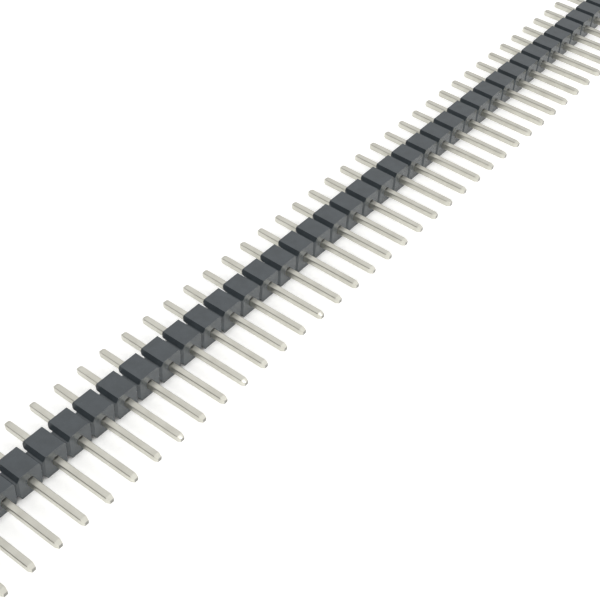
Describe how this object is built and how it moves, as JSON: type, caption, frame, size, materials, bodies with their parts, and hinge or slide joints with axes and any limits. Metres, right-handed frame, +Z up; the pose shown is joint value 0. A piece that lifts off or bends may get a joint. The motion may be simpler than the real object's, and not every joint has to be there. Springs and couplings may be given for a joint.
{
  "type": "pin header strip",
  "caption": "Straight single-row breakaway strip of square pins through a notched black insulator, long on the mating side and short on the board side.",
  "frame": {"origin": "middle of the strip's length and of the pins' length, on the surface that the strip lies on", "axes": "+X along the row of pins, +Y towards the short board-side pins, +Z up, across the pins"},
  "size_m": [0.1016, 0.0112, 0.0025],
  "materials": {
    "insulator_plastic": "moulded, satin",
    "tinned_wire": "tin plated, satin"
  },
  "bodies": {
    "root": {"insulator": "insulator_plastic", "pin_01": "tinned_wire", "pin_02": "tinned_wire", "pin_03": "tinned_wire", "pin_04": "tinned_wire", "pin_05": "tinned_wire", "pin_06": "tinned_wire", "pin_07": "tinned_wire", "pin_08": "tinned_wire", "pin_09": "tinned_wire", "pin_10": "tinned_wire", "pin_11": "tinned_wire", "pin_12": "tinned_wire", "pin_13": "tinned_wire", "pin_14": "tinned_wire", "pin_15": "tinned_wire", "pin_16": "tinned_wire", "pin_17": "tinned_wire", "pin_18": "tinned_wire", "pin_19": "tinned_wire", "pin_20": "tinned_wire", "pin_21": "tinned_wire", "pin_22": "tinned_wire", "pin_23": "tinned_wire", "pin_24": "tinned_wire", "pin_25": "tinned_wire", "pin_26": "tinned_wire", "pin_27": "tinned_wire", "pin_28": "tinned_wire", "pin_29": "tinned_wire", "pin_30": "tinned_wire", "pin_31": "tinned_wire", "pin_32": "tinned_wire", "pin_33": "tinned_wire", "pin_34": "tinned_wire", "pin_35": "tinned_wire", "pin_36": "tinned_wire", "pin_37": "tinned_wire", "pin_38": "tinned_wire", "pin_39": "tinned_wire", "pin_40": "tinned_wire"}
  },
  "joints": []
}
